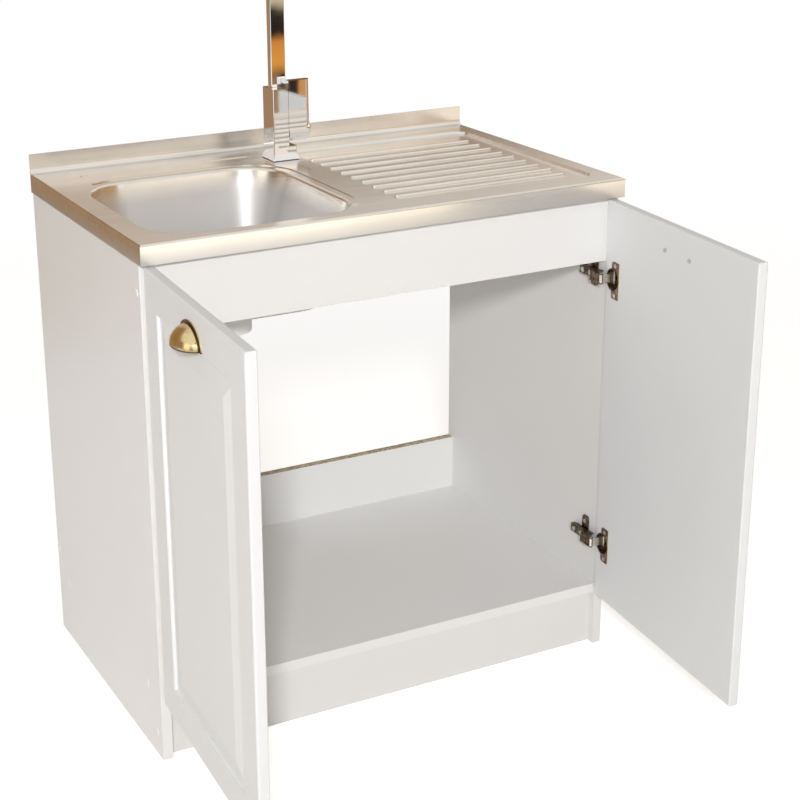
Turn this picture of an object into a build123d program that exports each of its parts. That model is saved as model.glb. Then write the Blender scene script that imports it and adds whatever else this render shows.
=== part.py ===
from build123d import *
from math import atan, cos, degrees, radians, sin, tan
import os

# Kitchen sink unit: a white two-door base cabinet with a lay-on steel sink, a square single-lever
# mixer tap and concealed door hinges. Millimetres, +Z up, +Y towards the wall, front towards -Y.
# While building, y = 0 is the front edge of the sink; every piece is moved at the end so that the
# origin is on the floor, mid-width, under the middle of the plinth board.

# ---- Cabinet ---------------------------------------------------------------------------------
board = 16.0
carcass_width = 796.0
carcass_front = 15.0
rear_overhang = 2.0
shelf_bottom = 97.0
plinth_setback = 14.0
rail_setback = 4.0
rail_drop = 35.0
rail_height = 100.0
rear_board_height = 100.0

# ---- Sink top --------------------------------------------------------------------------------
sink_width = 800.0
sink_depth = 500.0
sheet = 1.0
deck_top = 810.0
skirt_drop = 30.0
skirt_lip = 12.0
deck_edge_radius = 3.0
upstand_height = 32.0
upstand_cove = 8.0

# ---- Bowl, pressed into the left half ----------------------------------------------------------
bowl_x = (-363.0, -39.0)
bowl_y = (27.0, 371.0)
bowl_depth = 160.0
bowl_corner = 75.0
bowl_draft = 16.0
bowl_rim_radius = 5.0
bowl_floor_radius = 25.0

# ---- Drainer, pressed into the right half ------------------------------------------------------
drainer_x = (30.0, 372.0)
drainer_y = (38.0, 445.0)
drainer_depth = 4.0
drainer_corner = 25.0
drainer_draft = 35.0
rib_x = (40.0, 345.0)
rib_first_y = 85.0
rib_pitch = 36.4
rib_count = 9
rib_width = 9.0
rib_height = 2.8

# ---- Raised beads round the bowl ---------------------------------------------------------------
bead_width = 7.0
bead_height = 1.2
bead_offset = 20.0
bead_left_x = -335.0
bead_curve_lead = 3.0
bead_front_stop = 33.0
rear_bead_margin = 59.0

# ---- Waste in the bowl floor -------------------------------------------------------------------
waste_hole_radius = 43.0
strainer_flange_radius = 56.0
strainer_radius = 42.5
strainer_depth = 32.0
strainer_wall = 1.5
waste_thread_radius = 23.9
waste_outlet_length = 40.0
housing_depth = 43.0

# ---- Tap ---------------------------------------------------------------------------------------
tap_margin = 95.5
tap_side = 41.0
tap_height = 118.0
tap_hole_radius = 17.5
tap_base = (47.0, 49.0)
tap_base_height = 8.0
gasket_thickness = 1.0
lever_left = 7.2
lever_right = 46.4
lever_rise = 12.0
lever_thickness = 14.0
lever_axis_height = 48.0
lever_pivot_x = 5.0
lever_tilt_relief = 12.0
lever_corner = 8.0
lever_gap = 0.6
cartridge_radius = 17.4
spout_setback = 8.5
spout_width = 26.0
spout_thickness = 14.0
spout_wall = 2.0
spout_bend = 30.0
spout_height = 302.0
spout_reach = 208.0
aerator_from_tip = 14.0
aerator_radius = 10.0
inlet_radius = 5.0
inlet_depth = 15.0

# ---- Doors -------------------------------------------------------------------------------------
door_width = 396.0
door_reveal = 0.5
door_top_gap = 4.0
door_gap = 3.0
door_front_radius = 3.5
door_back_radius = 2.0
door_open = {"left": 93.3, "right": 84.7}
moulding_outer = 53.0
moulding_inner = 84.0
moulding_floor = 60.0
moulding_depth = 5.0
field_drop = 0.5

# ---- Shell handles -----------------------------------------------------------------------------
handle_half_length = 38.0
handle_radius = 27.0
handle_wall = 1.8
handle_flange = 4.5
handle_flange_thickness = 2.0
handle_from_top = 50.5
handle_screw_pitch = 64.0
handle_screw_rise = 10.5

# ---- Concealed hinges --------------------------------------------------------------------------
hinge_from_top = 124.5
hinge_from_bottom = 100.0
hinge_axis_from_edge = 9.3
hinge_axis_from_back = 10.5
cup_from_edge = 22.5
cup_radius = 17.4
cup_wall = 0.8
cup_depth = 13.2
cup_flange_thickness = 1.2
cup_pin_from_edge = 10.0
cup_pin_from_back = 9.5
cup_pin_radius = 1.1
cup_pin_half_length = 10.8
link_pivot_from_panel = 18.0
link_pivot_from_back = 7.8
link_bend_from_edge = 19.5
link_bend_from_back = 10.0
link_end_offset = (-0.2, 0.07)
link_ratio = -0.049
link_thickness = 2.5
link_height = 13.0
link_eye_radius = 3.0
link_knuckle_radius = 2.2
hinge_pin_radius = 1.5
arm_nose_from_panel = 20.8
arm_rear_from_panel = 11.0
arm_foot_from_panel = 4.0
arm_from_front = -6.0
arm_nose_length = 22.0
arm_nose_taper = 8.0
arm_length = 63.0
arm_eye_radius = 2.8
arm_half_height = 8.3
arm_rear_half_height = 7.0
arm_wall = 1.5
arm_screw_radius = 2.4
arm_screw_margin = 8.0
plate_height = 8.0
plate_from_front = 19.0
plate_length = 36.0
plate_half_height = 5.2
plate_wing_from_front = 21.0
plate_wing_width = 17.0
plate_wing_half_height = 26.0
plate_wing_lift = 3.0

# ---- Clearances --------------------------------------------------------------------------------
running = 0.05
loose = 0.3

# ---- Worked out from the sizes above -----------------------------------------------------------
half_carcass = carcass_width / 2
inner_face = half_carcass - board
carcass_rear = sink_depth - rear_overhang
half_sink = sink_width / 2
deck_under = deck_top - sheet
skirt_bottom = deck_top - skirt_drop
shelf_top = shelf_bottom + board
rail_bottom = deck_top - rail_drop - rail_height
rail_y = (carcass_front + rail_setback, carcass_front + rail_setback + board)
plinth_y = (carcass_front + plinth_setback, carcass_front + plinth_setback + board)
origin_y = sum(plinth_y) / 2
rear_board_y = (carcass_rear - board, carcass_rear)
bowl_floor = deck_top - bowl_depth
bowl_centre = (sum(bowl_x) / 2, sum(bowl_y) / 2)
rear_bead_y = sink_depth - rear_bead_margin
tap_y = sink_depth - tap_margin
tap_top = deck_top + tap_height
tap_half = tap_side / 2
tap_front = tap_y - tap_half
tap_foot = deck_top + gasket_thickness
tap_bottom = tap_foot + tap_base_height
lever_top = tap_top + lever_rise
lever_axis_z = deck_top + lever_axis_height
spout_y = tap_y + spout_setback
spout_centre_z = deck_top + spout_height
spout_tip_y = spout_y - spout_reach
aerator_y = spout_tip_y + aerator_from_tip
door_back = carcass_front - door_gap
door_front = door_back - board
door_edge = half_carcass - door_reveal
door_middle = door_edge - door_width / 2
door_bottom = shelf_bottom
door_top = skirt_bottom - door_top_gap
door_height = door_top - door_bottom
handle_bottom = door_top - handle_from_top
handle_screw_z = handle_bottom + handle_screw_rise
hinge_heights = {"top": door_top - hinge_from_top, "bottom": door_bottom + hinge_from_bottom}
hinge_axis = (door_edge - hinge_axis_from_edge, door_back - hinge_axis_from_back)
cup_x = door_edge - cup_from_edge
cup_pin_place = (door_edge - cup_pin_from_edge, door_back - cup_pin_from_back)
link_pivot = (inner_face - link_pivot_from_panel, door_back - link_pivot_from_back)
link_bend = (door_edge - link_bend_from_edge, door_back - link_bend_from_back)
link_end = (cup_pin_place[0] + link_end_offset[0], cup_pin_place[1] + link_end_offset[1])
arm_nose_face = inner_face - arm_nose_from_panel
arm_rear_face = inner_face - arm_rear_from_panel
arm_foot = inner_face - arm_foot_from_panel
arm_start = carcass_front + arm_from_front
arm_step = arm_start + arm_nose_length
arm_end = arm_start + arm_length
plate_top = inner_face - plate_height
plate_y = (carcass_front + plate_from_front, carcass_front + plate_from_front + plate_length)
plate_screw_y = carcass_front + plate_wing_from_front + plate_wing_width / 2
arm_screw_places = (plate_y[0] + arm_screw_margin, plate_y[1] - arm_screw_margin)
sides = {"left": -1, "right": 1}

# Confirmat screws: depth into the cabinet and height of each screw through one side panel.
carcass_screw_places = [
    (rail_y[1] - 6.5, rail_bottom + 60.5),
    (rear_board_y[0] + board / 2, shelf_top + 41.0),
    (carcass_rear - 52.0, shelf_bottom + board / 2),
    (carcass_front + 53.0, shelf_bottom + board / 2),
    (origin_y, 38.0),
]


def save(node, *solids):
    """Write one node, moved from the building frame to the part's own origin."""
    shape = solids[0] if len(solids) == 1 else Compound(list(solids))
    export_step(Location((0, -origin_y, 0)) * shape, f"parts/{node}.step")


def block(x, y, z):
    """A straight-sided block between three pairs of coordinates."""
    size = [abs(pair[1] - pair[0]) for pair in (x, y, z)]
    middle = [(pair[1] + pair[0]) / 2 for pair in (x, y, z)]
    return Pos(*middle) * Box(*size)


def rod(start, direction, radius, length):
    """A round bar that starts at a point and runs along a direction."""
    return Part() + Solid.make_cylinder(radius, length, Plane(origin=start, z_dir=direction))


def tube(start, direction, radius, bore, length):
    """A round tube that starts at a point and runs along a direction."""
    return rod(start, direction, radius, length) - rod(start, direction, bore, length)


def rounded_block(x, y, z, corner):
    """A block with its four upright edges rounded."""
    body = block(x, y, z)
    return fillet(body.edges().filter_by(Axis.Z), corner)


def tapered_pocket(x, y, corner, top, depth, draft, grow=0.0):
    """A pocket with rounded corners that narrows downwards; grow widens it all round."""
    outline = RectangleRounded(x[1] - x[0] + 2 * grow, y[1] - y[0] + 2 * grow, corner + grow)
    placed = Pos((x[0] + x[1]) / 2, (y[0] + y[1]) / 2, top) * outline
    return extrude(placed, amount=-depth, taper=draft)


def mirrored(shape, side):
    """The right-hand shape, or its mirror image for the left-hand side."""
    return shape if side == "right" else mirror(shape, Plane.YZ)


def opened(shape, side):
    """A right-hand closed-door piece, swung to its resting angle and put on its side."""
    axis = Axis((hinge_axis[0], hinge_axis[1], 0), (0, 0, 1))
    return mirrored(shape.rotate(axis, door_open[side]), side)


# ---- Cabinet boards ----------------------------------------------------------------------------
confirmat_head = 5.0
confirmat_head_depth = 3.5
confirmat_shank = 3.45
confirmat_thread = 2.45
confirmat_length = 50.0


def confirmat(y, z, extra=0.0):
    """One carcass screw in the right side panel; extra makes the hole it sits in."""
    head = rod((half_carcass, y, z), (-1, 0, 0), confirmat_head + extra, confirmat_head_depth)
    shank = rod((half_carcass, y, z), (-1, 0, 0), confirmat_shank + extra, board)
    thread = rod((half_carcass, y, z), (-1, 0, 0), confirmat_thread + extra, confirmat_length + extra)
    return head + shank + thread


def confirmat_holes():
    """All carcass screw holes, on both sides."""
    right = [confirmat(y, z, running) for y, z in carcass_screw_places]
    return right + [mirrored(hole, "left") for hole in right]


plate_screw_radius = 1.9
plate_screw_length = 15.0
plate_screw_pitch = 32.0
plate_thickness = 2.0


def plate_screw_centres():
    """Height of each mounting plate screw on one side panel."""
    middles = [z + plate_wing_lift for z in hinge_heights.values()]
    return [z + s * plate_screw_pitch / 2 for z in middles for s in (-1, 1)]


def side_panel(side):
    """A full-height side panel with its screw holes."""
    panel = block((inner_face, half_carcass), (carcass_front, carcass_rear), (0, deck_under))
    top_edges = panel.edges().group_by(Axis.Z)[-1].filter_by(Axis.Y)
    panel = chamfer(top_edges.sort_by(Axis.X)[-1], 1.2)
    for y, z in carcass_screw_places:
        panel -= confirmat(y, z, running)
    for z in plate_screw_centres():
        start = (inner_face, plate_screw_y, z)
        panel -= rod(start, (1, 0, 0), plate_screw_radius + running, plate_screw_length - plate_thickness)
    return mirrored(panel, side)


def cross_board(y, z):
    """A board between the two side panels, drilled at both ends."""
    body = block((-inner_face, inner_face), y, z)
    for hole in confirmat_holes():
        body -= hole
    return body


def carcass_screws():
    """Ten confirmat screws with a round socket for the caps."""
    screws = []
    for side in sides:
        for y, z in carcass_screw_places:
            socket = rod((half_carcass, y, z), (-1, 0, 0), 1.5, 2.8)
            screws.append(mirrored(confirmat(y, z) - socket, side))
    return screws


def screw_caps():
    """Ten flat plastic caps that hide the screw heads."""
    caps = []
    for side in sides:
        for y, z in carcass_screw_places:
            disc = rod((half_carcass, y, z), (1, 0, 0), 6.0, 1.2)
            disc = chamfer(disc.edges().sort_by(Axis.X)[-1], 0.5)
            stem = rod((half_carcass - 2.5, y, z), (1, 0, 0), 1.4, 3.0)
            caps.append(mirrored(disc + stem, side))
    return caps


# ---- Sink top ----------------------------------------------------------------------------------
def level_edges(body, x, y, height):
    """The edges that lie in one level plane inside a rectangle seen from above."""
    near = 0.01

    def wanted(edge):
        box = edge.bounding_box()
        flat = abs(box.min.Z - height) < near and abs(box.max.Z - height) < near
        in_x = box.min.X > x[0] - near and box.max.X < x[1] + near
        in_y = box.min.Y > y[0] - near and box.max.Y < y[1] + near
        return flat and in_x and in_y

    return body.edges().filter_by(wanted)


def front_and_side_edges(body, height):
    """The level edges at a height, leaving out the one along the wall."""
    return body.edges().filter_by(
        lambda e: abs(e.center().Z - height) < 0.01 and e.center().Y < sink_depth - 1)


def deck_shell():
    """The flat top with its front and side skirts and the turned-in front lip."""
    inside_x = (sheet - half_sink, half_sink - sheet)
    outer = block((-half_sink, half_sink), (0, sink_depth), (skirt_bottom, deck_top))
    outer = fillet(front_and_side_edges(outer, deck_top), deck_edge_radius)
    inner = block(inside_x, (sheet, sink_depth), (skirt_bottom, deck_under))
    inner = fillet(front_and_side_edges(inner, deck_under), deck_edge_radius - sheet)
    lip = block(inside_x, (sheet, skirt_lip), (skirt_bottom, skirt_bottom + sheet))
    return outer - inner + lip


def upstand():
    """The upright strip at the back, with a coved foot."""
    across = (-half_sink, half_sink)
    front = sink_depth - sheet
    strip = block(across, (front, sink_depth), (deck_under, deck_top + upstand_height))
    foot = block(across, (front - upstand_cove, front), (deck_top, deck_top + upstand_cove))
    cove_axis = (-half_sink, front - upstand_cove, deck_top + upstand_cove)
    return strip + (foot - rod(cove_axis, (1, 0, 0), upstand_cove, sink_width))


def pressed_bowl(shell):
    """The deck with the bowl pressed into it: drafted walls, rolled rim and rounded floor."""
    grow = sheet / cos(radians(bowl_draft))
    outside = tapered_pocket(bowl_x, bowl_y, bowl_corner, deck_top, bowl_depth + sheet, bowl_draft, grow)
    outside = fillet(outside.faces().sort_by(Axis.Z)[0].edges(), bowl_floor_radius + sheet)
    inside = tapered_pocket(bowl_x, bowl_y, bowl_corner, deck_top, bowl_depth, bowl_draft)
    inside = fillet(inside.faces().sort_by(Axis.Z)[0].edges(), bowl_floor_radius)
    body = shell + outside
    around_x = (bowl_x[0] - 2 * sheet, bowl_x[1] + 2 * sheet)
    around_y = (bowl_y[0] - 2 * sheet, bowl_y[1] + 2 * sheet)
    body = fillet(level_edges(body, around_x, around_y, deck_under), bowl_rim_radius - sheet)
    body -= inside
    return fillet(level_edges(body, around_x, around_y, deck_top), bowl_rim_radius)


def pressed_drainer(shell):
    """The deck with the sunk drainer and its raised ribs."""
    slope_grow = sheet / cos(radians(drainer_draft))
    outside = tapered_pocket(drainer_x, drainer_y, drainer_corner, deck_top, drainer_depth + sheet,
                             drainer_draft, slope_grow)
    inside = tapered_pocket(drainer_x, drainer_y, drainer_corner, deck_top, drainer_depth, drainer_draft)
    body = shell + outside - inside
    floor = deck_top - drainer_depth
    for i in range(rib_count):
        y = rib_first_y + i * rib_pitch
        rib = rounded_block(rib_x, (y - rib_width / 2, y + rib_width / 2),
                            (floor - sheet / 2, floor + rib_height), rib_width / 2 - 0.01)
        crown = rib.faces().sort_by(Axis.Z)[-1].edges()
        body += fillet(crown, rib_height - 0.3)
    return body


def bowl_beads():
    """The low beads pressed round the right and back of the bowl, and along the back edge."""
    reach = bead_offset + bead_width / 2
    corner = bowl_corner + reach - bowl_rim_radius
    ring_x = (bowl_x[0] - reach, bowl_x[1] + reach)
    ring_y = (bowl_y[0] - bead_curve_lead, bowl_y[1] + reach)
    inner_x = (ring_x[0] + bead_width, ring_x[1] - bead_width)
    inner_y = (ring_y[0] + bead_width, ring_y[1] - bead_width)
    level = (deck_top - sheet / 2, deck_top + bead_height)
    ring = rounded_block(ring_x, ring_y, level, corner)
    ring -= rounded_block(inner_x, inner_y, level, corner - bead_width)
    kept = block((bead_left_x, 0), (bowl_y[0] + bead_front_stop, ring_y[1]), level)
    rear = rounded_block((bead_left_x, drainer_x[0] - 20), (rear_bead_y, rear_bead_y + bead_width / 2),
                         level, bead_width / 4 - 0.01)
    return (ring & kept) + rear


def sink_top():
    """The whole steel top, one pressed sheet."""
    body = pressed_drainer(pressed_bowl(deck_shell()))
    body = body + upstand() + bowl_beads()
    body -= rod((bowl_centre[0], bowl_centre[1], bowl_floor - 10), (0, 0, 1), waste_hole_radius, 20)
    body -= rod((0, tap_y, deck_under - 10), (0, 0, 1), tap_hole_radius, 20)
    return body


bracket_size = 22.0
bracket_leg = 9.0
bracket_thickness = 2.0
bracket_margin = 45.0
bracket_y = (carcass_front + 47.0, sink_depth - bracket_margin)


def sink_brackets():
    """Four small angles that hold the top to the side panels."""
    brackets = []
    low = deck_under - bracket_size
    for side in sides:
        for y in bracket_y:
            span = (y - bracket_size / 2, y + bracket_size / 2)
            leg = block((inner_face - bracket_thickness, inner_face), span, (low, deck_under))
            foot = block((inner_face - bracket_leg, inner_face), span,
                         (deck_under - bracket_thickness, deck_under))
            hole = bracket_screw(y, running)
            brackets.append(mirrored(leg + foot - hole, side))
    return brackets


def bracket_screw(y, extra=0.0):
    """The wood screw of one bracket, in the right side panel."""
    start = (inner_face - bracket_thickness, y, deck_under - bracket_size / 2 - 1)
    head = rod(start, (-1, 0, 0), 3.8, 2.0)
    return head + rod(start, (1, 0, 0), 2.0 + extra, 14.0)


# ---- Waste -------------------------------------------------------------------------------------
def ring_at(z, radius, bore, height):
    """A flat ring on the axis of the waste."""
    return tube((bowl_centre[0], bowl_centre[1], z), (0, 0, 1), radius, bore, height)


def disc_at(z, radius, height):
    """A flat disc on the axis of the waste."""
    return rod((bowl_centre[0], bowl_centre[1], z), (0, 0, 1), radius, height)


def drain_holes(z, count, circle, radius, height):
    """A circle of round holes on the axis of the waste."""
    holes = Part()
    for i in range(count):
        turn = radians(360 * i / count)
        place = (bowl_centre[0] + circle * cos(turn), bowl_centre[1] + circle * sin(turn), z)
        holes += rod(place, (0, 0, 1), radius, height)
    return holes


strainer_floor = bowl_floor - strainer_depth
waste_screw_radius = 3.0


def strainer_body():
    """The steel cup that drops into the bowl floor, with its wide flange."""
    bore = strainer_radius - strainer_wall
    cup = ring_at(strainer_floor, strainer_radius, bore, strainer_depth + strainer_wall)
    flange = ring_at(bowl_floor, strainer_flange_radius, bore, strainer_wall)
    upper_rings = flange.edges().filter_by(GeomType.CIRCLE).sort_by(Axis.Z)[-2:]
    flange = chamfer(upper_rings.sort_by(SortBy.RADIUS)[-1], 1.0)
    floor = disc_at(strainer_floor, bore + 0.1, strainer_wall)
    holes = drain_holes(strainer_floor - 1, 10, 26.0, 6.0, 5)
    holes += drain_holes(strainer_floor - 1, 5, 12.5, 4.0, 5)
    centre = disc_at(strainer_floor - 1, waste_screw_radius + running, 5)
    return cup + flange + floor - holes - centre


def strainer_basket():
    """The lift-out basket with a knob, standing on a low rim."""
    seat = strainer_floor + strainer_wall
    bottom = seat + 3.0
    radius = strainer_radius - strainer_wall - 0.8
    height = strainer_depth - 8.0
    cup = ring_at(bottom, radius, radius - 1.2, height)
    lip = ring_at(bottom + height - 1.2, radius + 0.3, radius - 4.0, 1.2)
    floor = disc_at(bottom, radius, 1.2)
    holes = drain_holes(bottom - 1, 16, 30.0, 3.2, 4) + drain_holes(bottom - 1, 9, 19.0, 3.2, 4)
    stem = disc_at(bottom, 4.0, 22.0)
    knob = disc_at(bottom + 20.0, 8.0, 5.0)
    foot = ring_at(seat, 36.0, 34.5, 3.0)
    return cup + lip + floor + foot - holes + stem + fillet(knob.edges().filter_by(GeomType.CIRCLE), 1.5)


gasket_height = 3.0
housing_top = bowl_floor - sheet - gasket_height
housing_bottom = housing_top - housing_depth
outlet_bottom = housing_bottom - waste_outlet_length


def drain_housing():
    """The plastic cup under the bowl with its threaded outlet."""
    bore = strainer_radius + 0.7
    flange = ring_at(housing_top - 4.0, strainer_flange_radius + 2.0, bore, 4.0)
    cup = ring_at(housing_bottom, bore + 3.0, bore, housing_depth)
    floor = ring_at(housing_bottom, bore + 1.0, waste_thread_radius - 3.5, 3.0)
    outlet = ring_at(outlet_bottom, waste_thread_radius, waste_thread_radius - 3.5, waste_outlet_length)
    x, y = bowl_centre
    web = block((x - 44, x + 44), (y - 3, y + 3), (housing_bottom + 3, housing_bottom + 11))
    web &= disc_at(housing_bottom + 3, bore + 1, 8.0)
    boss = disc_at(housing_bottom, 7.0, 14.0)
    screw = disc_at(housing_bottom - 1, waste_screw_radius + running, 20.0)
    return flange + cup + floor + outlet + web + boss - screw


def drain_screw():
    """The long screw that clamps the strainer to the housing."""
    head_z = strainer_floor + strainer_wall
    tip_z = housing_bottom + 1
    return disc_at(head_z, 6.0, 2.4) + disc_at(tip_z, waste_screw_radius, head_z - tip_z + 1)


# ---- Tap ---------------------------------------------------------------------------------------
def lever_blade():
    """The lever's flat upright blade, with its outer front edge rounded."""
    blade = block((lever_left, lever_right), (tap_front, tap_front + lever_thickness),
                  (lever_axis_z, lever_top))
    front_right = blade.edges().filter_by(Axis.Z).filter_by(
        lambda e: e.center().X > lever_right - 1 and e.center().Y < tap_front + 1)
    return fillet(front_right, lever_corner)


def tap_base_plate():
    """The flared foot of the tap."""
    outline = Pos(0, tap_y, tap_foot) * Rectangle(*tap_base)
    slope = degrees(atan((tap_base[0] - tap_side) / 2 / tap_base_height))
    body = extrude(outline, amount=tap_base_height, taper=slope)
    return body - rod((0, tap_y, tap_foot - 1), (0, 0, 1), tap_hole_radius - loose, 20)


notch_left = lever_left - lever_gap
sleeve_left = notch_left - 3.0
sleeve_length = 5.0
nut_bore = 10.0
cartridge_length = 17.0
lever_pin_radius = 1.2
stem_radius = 3.2
stem_length = 24.0
notch_floor = lever_axis_z - tap_half - 5.0
shank_bottom = deck_under + loose
spigot_radius = 6.0
spigot_length = 14.0
stud_radius = 4.0
stud_length = 70.0
stud_offset = 10.0


def inlet_places():
    """Centres of the hot and cold inlets in the foot of the tap."""
    return [(x, tap_y - 4.0) for x in (-8.5, 8.5)]


def tap_body():
    """The square column, notched for the lever, bored for the cartridge, spout, stud and inlets."""
    column = block((-tap_half, tap_half), (tap_front, tap_y + tap_half), (tap_bottom, tap_top))
    column = fillet(column.edges().filter_by(Axis.Z), 1.0)
    shank = rod((0, tap_y, shank_bottom), (0, 0, 1), tap_hole_radius - 2 * loose, tap_bottom - shank_bottom)
    body = column + shank
    notch_x = (notch_left, tap_half + 1)
    boss_space = block(notch_x, (tap_front - 1, tap_y + tap_half + 1),
                       (notch_floor, lever_axis_z + tap_half + 2))
    blade_space = block(notch_x, (tap_front - 1, tap_front + lever_thickness + 2),
                        (lever_axis_z, tap_top + 1))
    body = body - boss_space - blade_space
    bore_depth = notch_left - sleeve_left + loose + cartridge_length
    body -= rod((notch_left, tap_y, lever_axis_z), (-1, 0, 0), cartridge_radius + running, bore_depth)
    body -= rod((0, spout_y, tap_top), (0, 0, -1), spigot_radius + running, spigot_length + 1)
    body -= rod((0, tap_y + stud_offset, shank_bottom), (0, 0, 1), stud_radius + running, 14)
    for x, y in inlet_places():
        body -= rod((x, y, shank_bottom), (0, 0, 1), inlet_radius, inlet_depth)
    return body


def cartridge():
    """The ceramic cartridge, its axis level and pointing right."""
    face = sleeve_left - loose
    body = rod((face, tap_y, lever_axis_z), (-1, 0, 0), cartridge_radius, cartridge_length)
    return body - rod((face, tap_y, lever_axis_z), (-1, 0, 0), 7.5, 6.0)


def cartridge_nut():
    """The ring nut that holds the cartridge in."""
    face = sleeve_left - loose
    return tube((face, tap_y, lever_axis_z), (1, 0, 0), cartridge_radius, nut_bore, notch_left - face)


def lever_sleeve():
    """The collar that turns with the lever, cross-drilled for the pin."""
    collar = tube((sleeve_left, tap_y, lever_axis_z), (1, 0, 0), nut_bore - running, 7.0, sleeve_length)
    return collar - rod((lever_pivot_x, tap_front, lever_axis_z), (0, 1, 0), lever_pin_radius, tap_side)


def lever_pin():
    """The cross pin that the stem tips on."""
    half = nut_bore - 2 * loose
    return rod((lever_pivot_x, tap_y - half, lever_axis_z), (0, 1, 0), lever_pin_radius, 2 * half)


def lever_stem():
    """The stem that the lever is fixed on; it tips inside the collar."""
    stem = rod((sleeve_left, tap_y, lever_axis_z), (1, 0, 0), stem_radius, stem_length)
    hole_radius = lever_pin_radius + running
    return stem - rod((lever_pivot_x, tap_front, lever_axis_z), (0, 1, 0), hole_radius, tap_side)


def lever_screw(extra=0.0):
    """The grub screw in the lever's boss that grips the stem; extra makes its hole."""
    start = (sleeve_left + stem_length - 4.0, tap_y, lever_axis_z - stem_radius)
    return rod(start, (0, 0, -1), 2.0 + extra, 12.0)


def tap_lever():
    """The lever: flat blade, round boss, hollow over the collar and bevelled where it tips."""
    boss = rod((lever_left, tap_y, lever_axis_z), (1, 0, 0), tap_half, lever_right - lever_left)
    boss = fillet(boss.edges().filter_by(GeomType.CIRCLE).sort_by(Axis.X)[-1], 2.0)
    body = boss + lever_blade()
    body -= rod((lever_left - 1, tap_y, lever_axis_z), (1, 0, 0), nut_bore + 1.5, 14.0)
    body -= rod((lever_left, tap_y, lever_axis_z), (1, 0, 0), stem_radius, stem_length - 3.5)
    body -= lever_screw() + Pos(0, 0, -10) * lever_screw()
    reach = 2 * tap_half
    wedge = block((lever_left - reach, lever_left), (tap_front - 1, tap_front + tap_side + 1),
                  (lever_axis_z - reach, lever_axis_z))
    tip = Axis((lever_left, tap_y, lever_axis_z), (0, 1, 0))
    return body - wedge.rotate(tip, -lever_tilt_relief)


def spout_outline(inset=0.0):
    """The spout's side shape: up, round a bend and level towards the front."""
    half = spout_thickness / 2 - inset
    bend_y = spout_y - spout_bend
    bend_z = spout_centre_z - spout_bend
    foot_z = tap_top + loose
    tip = spout_tip_y + inset
    outer = spout_bend + half
    inner = spout_bend - half
    slant = sin(radians(45))
    back = Line((spout_y + half, foot_z), (spout_y + half, bend_z))
    top_bend = ThreePointArc((spout_y + half, bend_z), (bend_y + outer * slant, bend_z + outer * slant),
                             (bend_y, spout_centre_z + half))
    top = Line((bend_y, spout_centre_z + half), (tip, spout_centre_z + half))
    end = Line((tip, spout_centre_z + half), (tip, spout_centre_z - half))
    under = Line((tip, spout_centre_z - half), (bend_y, spout_centre_z - half))
    under_bend = ThreePointArc((bend_y, spout_centre_z - half),
                               (bend_y + inner * slant, bend_z + inner * slant), (spout_y - half, bend_z))
    front = Line((spout_y - half, bend_z), (spout_y - half, foot_z))
    foot = Line((spout_y - half, foot_z), (spout_y + half, foot_z))
    return Plane.YZ * make_face([back, top_bend, top, end, under, under_bend, front, foot])


def spout():
    """The swivel spout: flat rectangular tube with a round spigot and an outlet hole."""
    body = extrude(spout_outline(), amount=spout_width / 2, both=True)
    rims = body.faces().sort_by(Axis.X)
    body = fillet(rims[0].edges() + rims[-1].edges(), 1.5)
    channel = extrude(spout_outline(spout_wall), amount=spout_width / 2 - spout_wall, both=True)
    channel -= block((-spout_width, spout_width), (spout_y - spout_width, spout_y + spout_width),
                     (tap_top, tap_top + spout_wall + 1))
    spigot = rod((0, spout_y, tap_top + loose), (0, 0, -1), spigot_radius, spigot_length)
    bore = rod((0, spout_y, tap_top - spigot_length), (0, 0, 1), spigot_radius - 2.0, spigot_length + 10)
    outlet = rod((0, aerator_y, spout_centre_z), (0, 0, -1), aerator_radius + running, spout_thickness)
    return body - channel + spigot - bore - outlet


def aerator():
    """The aerator under the spout's tip."""
    top = spout_centre_z - spout_thickness / 2
    plug = rod((0, aerator_y, top + 3.0), (0, 0, -1), aerator_radius, 9.0)
    collar = rod((0, aerator_y, top), (0, 0, -1), aerator_radius + 1.5, 5.0)
    bore = rod((0, aerator_y, top + 4.0), (0, 0, -1), aerator_radius - 2.5, 9.0)
    mesh = rod((0, aerator_y, top - 4.0), (0, 0, -1), aerator_radius - 2.4, 0.8)
    return plug + collar - bore + mesh


horseshoe_thickness = 3.0


def horseshoe_washer():
    """The horseshoe plate that clamps the tap from below; its slot lets the hoses by."""
    plate = rod((0, tap_y, deck_under), (0, 0, -1), 27.0, horseshoe_thickness)
    slot = block((-14.5, 14.5), (tap_y - 30, tap_y + 2.5), (deck_under - 10, deck_under + 1))
    hole = rod((0, tap_y + stud_offset, deck_under + 1), (0, 0, -1), stud_radius + loose, 10)
    return plate - slot - hole


def tap_stud():
    """The threaded stud under the tap."""
    return rod((0, tap_y + stud_offset, deck_under + 12), (0, 0, -1), stud_radius, stud_length)


def tap_nut():
    """The hexagon nut under the horseshoe plate."""
    top = deck_under - horseshoe_thickness
    hexagon = Pos(0, tap_y + stud_offset, top - 7) * RegularPolygon(7.5, 6)
    thread = rod((0, tap_y + stud_offset, top), (0, 0, -1), stud_radius + running, 8)
    return extrude(hexagon, amount=7) - thread


def tap_gasket():
    """The rubber sheet between tap and deck."""
    body = block((-tap_base[0] / 2 + 1, tap_base[0] / 2 - 1),
                 (tap_y - tap_base[1] / 2 + 1, tap_y + tap_base[1] / 2 - 1), (deck_top, tap_foot))
    return body - rod((0, tap_y, deck_top - 1), (0, 0, 1), tap_hole_radius - loose, 3)


# ---- Doors, built closed on the right ----------------------------------------------------------
handle_screw_radius = 2.0
handle_screw_head = 3.3
cup_screw_x = cup_x - 7.5
cup_screw_pitch = 48.0
cup_screw_radius = 1.7
cup_screw_length = 11.0


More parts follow.
